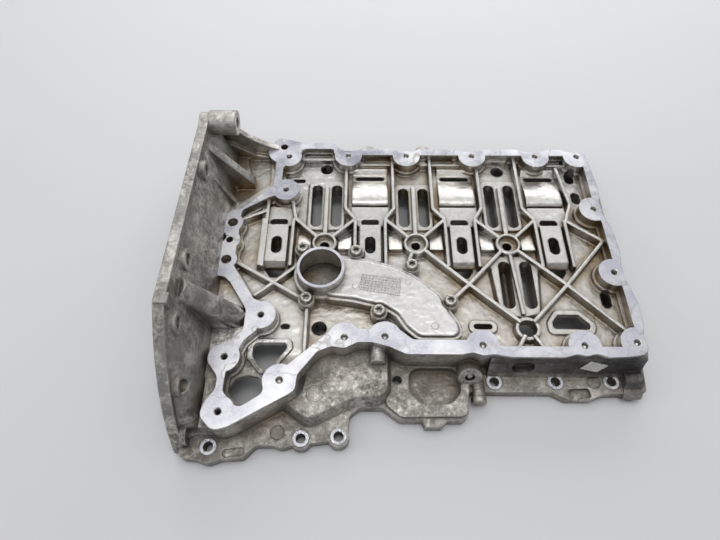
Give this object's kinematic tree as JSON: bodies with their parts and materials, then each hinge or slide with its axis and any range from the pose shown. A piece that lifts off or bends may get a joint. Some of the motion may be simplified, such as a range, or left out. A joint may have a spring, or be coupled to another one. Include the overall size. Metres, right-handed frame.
{
  "type": "engine oil pan",
  "caption": "Die-cast upper oil pan with a ribbed and slotted baffle deck, a bell housing flange and a covered oil channel with a pick-up collar.",
  "frame": {"origin": "axis of the middle bearing boss, in the crankcase joint face", "axes": "+Z from the crankcase joint face to the sump rail, +X along the crankshaft to the engine's front, away from the bell housing flange, +Y across the pan"},
  "size_m": [0.4186, 0.3502, 0.119],
  "materials": {
    "cast_aluminium": "as cast, machined on its faces",
    "cover_aluminium": "as cast",
    "gasket": "matt",
    "steel": "satin"
  },
  "bodies": {
    "root": {"pan_casting": "cast_aluminium", "channel_cover": "cover_aluminium", "cover_gasket": "gasket", "gallery_ball_plug": "steel", "cover_screw_1": "steel", "cover_screw_2": "steel", "cover_screw_3": "steel", "cover_screw_4": "steel", "cover_screw_5": "steel", "cover_screw_6": "steel"}
  },
  "joints": []
}
